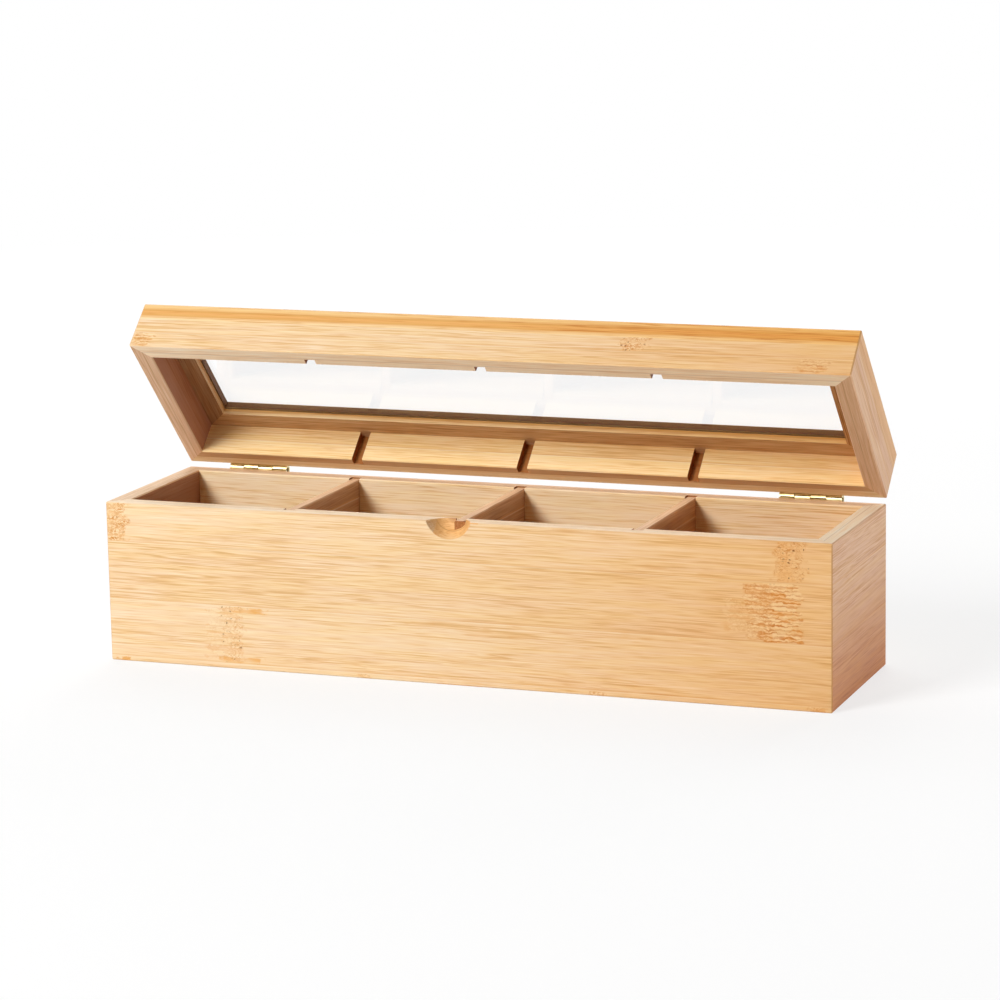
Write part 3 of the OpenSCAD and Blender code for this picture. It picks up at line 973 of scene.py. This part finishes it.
def brassMaterial(name, codes, roughness):
    material, tree, shader = newMaterial(name)
    where = addNode(tree, "TexCoord")
    cloud = noise(tree, where.outputs["Object"], brassLook["cloud"], detail=3.0, rough=0.6)
    brushed = noise(tree, where.outputs["Object"], brassLook["brushed"], detail=2.0, rough=0.6)
    color = ramp(tree, cloud, shades(brassLook["colorPlaces"], codes))
    tree.links.new(color, shader.inputs["Base Color"])
    shader.inputs["Metallic"].default_value = 1.0
    wear = calc(tree, "MULTIPLY_ADD", centred(tree, brushed), brassLook["brushedShare"], cloud)
    low, high = (roughness + spread for spread in brassLook["roughSpread"])
    tree.links.new(remap(tree, wear, *middle, low, high), shader.inputs["Roughness"])
    bump = addNode(tree, "Bump")
    bump.inputs["Strength"].default_value = brassLook["reliefStrength"]
    bump.inputs["Distance"].default_value = brassLook["relief"]
    tree.links.new(brushed, bump.inputs["Height"])
    tree.links.new(bump.outputs[0], shader.inputs["Normal"])
    return material


brass = brassMaterial("brass leaf", "#cdb67c #e2d09c #f1e5c0", 0.40)
# painted shade: the pin is dark so that the openings of the rolls look dark
pinShadeBrass = brassMaterial("brass pin dark as painted shade", "#3c2c14 #57421f #7a6234", 0.38)
screwBrass = brassMaterial("brass screw", "#ad9050 #cfb577 #e4cf9c", 0.28)


def makeHinges():
    shapes = {
        "left leaf": makeLeaf(0),
        "right leaf": makeLeaf(1),
        "pin": makePin(),
        "screws": makeScrew(),
    }
    finishes = {"left leaf": brass, "right leaf": brass, "pin": pinShadeBrass, "screws": screwBrass}
    lidTurn = shutTurn.inverted() @ Matrix.Rotation(math.radians(180), 4, "Y")
    for hand, side in (("left", -1), ("right", 1)):
        place = Matrix.Translation((side * (pinLow.x + pinHigh.x) / 2, hingeLine.y, hingeLine.z))
        made = [("pin", "base", "pin", [place])]
        for body, turn in (("base", Matrix.Identity(4)), ("lid", lidTurn)):
            made.append((body + "_leaf", body, hand + " leaf", [place @ turn]))
            made.append((body + "_screws", body, "screws", [place @ turn @ at for at in screwPlaces]))
        for part, body, shape, places in made:
            node = "hinge_" + hand + "_" + part
            piece = copyOf(shapes[shape], "modelled_" + node, places)
            piece.data.materials.append(finishes[shape])
            chooseOnly(piece)
            bpy.ops.object.shade_smooth_by_angle(angle=math.radians(hinge["smooth"]))
            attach(piece, body)
            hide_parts(node)
    for shape in shapes.values():
        bpy.data.objects.remove(shape)


makeHinges()
print("hinges modelled")


# Glass
def glassMaterial():
    material, tree, shader = newMaterial("window glass")
    shader.inputs["Base Color"].default_value = (0.995, 1.0, 1.0, 1)
    shader.inputs["Roughness"].default_value = 0.0
    shader.inputs["IOR"].default_value = 1.45
    shader.inputs["Transmission Weight"].default_value = 1.0
    return material


dress("window_glass", glassMaterial())
print("brass and glass dressed")

# Studio: pale floor, white surroundings, a soft key lamp from the front left and three weaker lamps
studio = {
    "floorSize": 12.0,
    "floorColor": "#e6e6e6",
    "floorVeil": 0.68,        # how far the floor that is seen goes over to plain white, near the box
    "veilGlow": 1.10,
    "veilFull": (0.5, 1.6),   # distances from the box between which it becomes all white
    "ambient": 0.02,
    "aim": (0, 0, 0.08),
}


def whiteForViewers(tree):
    # 1 for rays from the camera, from gloss and through glass, 0 for the light that the object gets
    path = addNode(tree, "LightPath")
    seen = calc(tree, "MAXIMUM", path.outputs["Is Camera Ray"], path.outputs["Is Glossy Ray"])
    return calc(tree, "MAXIMUM", seen, path.outputs["Is Transmission Ray"])


def makeWorld():
    world = bpy.data.worlds.new("white studio")
    scene.world = world
    world.use_nodes = True
    tree = world.node_tree
    back = tree.nodes["Background"]
    back.inputs["Color"].default_value = (1, 1, 1, 1)
    light = remap(tree, whiteForViewers(tree), 0.0, 1.0, studio["ambient"], 1.0)
    tree.links.new(light, back.inputs["Strength"])


def makeFloor():
    bpy.ops.object.select_all(action="DESELECT")
    bpy.ops.mesh.primitive_plane_add(size=studio["floorSize"])
    floor = bpy.context.object
    floor.name = "floor"
    material, tree, shader = newMaterial("white floor")
    shader.inputs["Base Color"].default_value = linearColor(studio["floorColor"])
    shader.inputs["Roughness"].default_value = 0.9
    shader.inputs["Specular IOR Level"].default_value = 0.1
    glow = addNode(tree, "Emission")
    where = addNode(tree, "TexCoord")
    away = addNode(tree, "VectorMath", operation="LENGTH")
    tree.links.new(where.outputs["Object"], away.inputs[0])
    near, far = studio["veilFull"]
    distance = away.outputs["Value"]
    veil = remap(tree, distance, near, far, studio["floorVeil"], 1.0, smooth=True)
    tree.links.new(remap(tree, distance, near, far, studio["veilGlow"], 1.0), glow.inputs["Strength"])
    blend = addNode(tree, "MixShader")
    tree.links.new(times(tree, whiteForViewers(tree), veil), blend.inputs[0])
    tree.links.new(shader.outputs[0], blend.inputs[1])
    tree.links.new(glow.outputs[0], blend.inputs[2])
    tree.links.new(blend.outputs[0], tree.nodes["Material Output"].inputs["Surface"])
    floor.data.materials.append(material)


# Bearings are degrees from the front, positive to the right
lamps = [
    {"name": "key", "bearing": -30, "height": 33, "distance": 2.9, "size": (1.0, 1.0),
     "power": 76.0, "mirrored": True},
    {"name": "back left", "bearing": -150, "height": 50, "distance": 2.2, "size": (1.4, 1.4),
     "power": 21.0, "mirrored": True},
    {"name": "back", "bearing": 178, "height": 24, "distance": 2.6, "size": (1.6, 1.0),
     "power": 24.0, "mirrored": False},
    {"name": "low right", "bearing": 95, "height": 1, "distance": 2.2, "size": (1.4, 0.16),
     "power": 17.2, "mirrored": True},
]


def makeLamps():
    aim = Vector(studio["aim"])
    for spec in lamps:
        data = bpy.data.lights.new(spec["name"], "AREA")
        data.shape = "RECTANGLE"
        data.size, data.size_y = spec["size"]
        data.energy = spec["power"]
        lamp = bpy.data.objects.new(spec["name"], data)
        scene.collection.objects.link(lamp)
        bearing, height = math.radians(spec["bearing"]), math.radians(spec["height"])
        level = math.cos(height)
        out = Vector((math.sin(bearing) * level, -math.cos(bearing) * level, math.sin(height)))
        lamp.location = aim + out * spec["distance"]
        lamp.rotation_euler = (-out).to_track_quat("-Z", "Y").to_euler()
        lamp.visible_glossy = spec["mirrored"]


# Camera, fitted to the corners of the box in the photograph: metres, degrees and a lens in millimetres
camera = {
    "at": (0.56345, -1.46622, 0.38856),
    "yaw": 20.880,
    "down": 11.302,
    "roll": -1.083,
    "lens": 128.86,
    "sensor": 36.0,
}


def makeCamera():
    data = bpy.data.cameras.new("camera")
    data.lens = camera["lens"]
    data.sensor_width = camera["sensor"]
    view = bpy.data.objects.new("camera", data)
    scene.collection.objects.link(view)
    turn = Matrix.Rotation(math.radians(camera["yaw"]), 4, "Z")
    tilt = Matrix.Rotation(math.radians(90 - camera["down"]), 4, "X")
    roll = Matrix.Rotation(math.radians(camera["roll"]), 4, "Z")
    view.matrix_world = Matrix.Translation(camera["at"]) @ turn @ tilt @ roll
    scene.camera = view


makeWorld()
makeFloor()
makeLamps()
makeCamera()
scene.view_settings.view_transform = "Standard"
print("studio ready")
